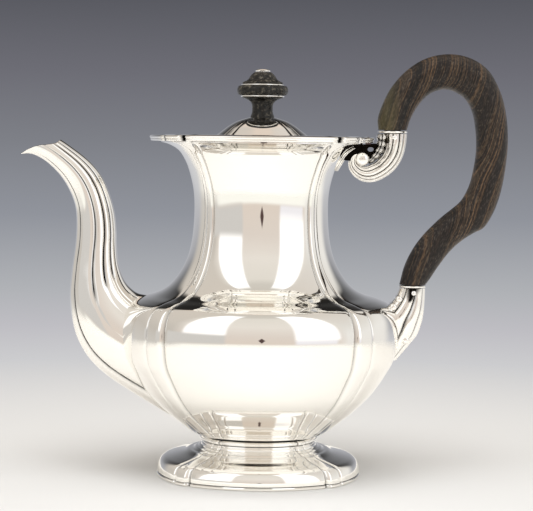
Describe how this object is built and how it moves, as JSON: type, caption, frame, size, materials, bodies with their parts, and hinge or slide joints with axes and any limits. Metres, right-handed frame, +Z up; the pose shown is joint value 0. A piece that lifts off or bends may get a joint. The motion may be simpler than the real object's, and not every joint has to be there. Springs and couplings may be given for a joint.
{
  "type": "coffee pot",
  "caption": "Footed silver coffee pot with a lobed body, an S-shaped reeded spout, a wooden loop handle and a hinged domed lid.",
  "frame": {"origin": "body axis where it meets the surface that the foot rests on", "axes": "+Z up, +X towards the handle, the spout points to -X, the lid's hinge is parallel to Y"},
  "size_m": [0.1841, 0.105, 0.1602],
  "materials": {
    "silver": "polished sterling silver with fine wear",
    "handle_wood": "striped dark wood, satin, oiled",
    "finial_wood": "near-black turned wood, waxed"
  },
  "bodies": {
    "pot": {"body_shell": "silver", "rim_moulding": "silver", "foot": "silver", "foot_base_wire": "silver", "foot_collar": "silver", "spout": "silver", "upper_socket": "silver", "lower_socket": "silver", "upper_ferrule": "silver", "lower_ferrule": "silver", "handle": "handle_wood", "upper_handle_pin": "silver", "lower_handle_pin": "silver", "body_hinge_leaf": "silver", "hinge_pin": "silver"},
    "lid": {"lid": "silver", "lid_bezel": "silver", "lid_hinge_leaf": "silver", "finial_stem": "finial_wood", "finial_lower_disc": "silver", "finial_bead": "finial_wood", "finial_upper_disc": "silver", "finial_crown": "finial_wood", "finial_bolt": "silver", "finial_washer": "silver", "finial_nut": "silver"}
  },
  "joints": [
    {"name": "lid_hinge", "type": "hinge", "parent": "pot", "child": "lid", "pos_m": [0.0396, 0, 0.1278], "axis": [0, 1, 0], "range_deg": [0, 84]}
  ]
}
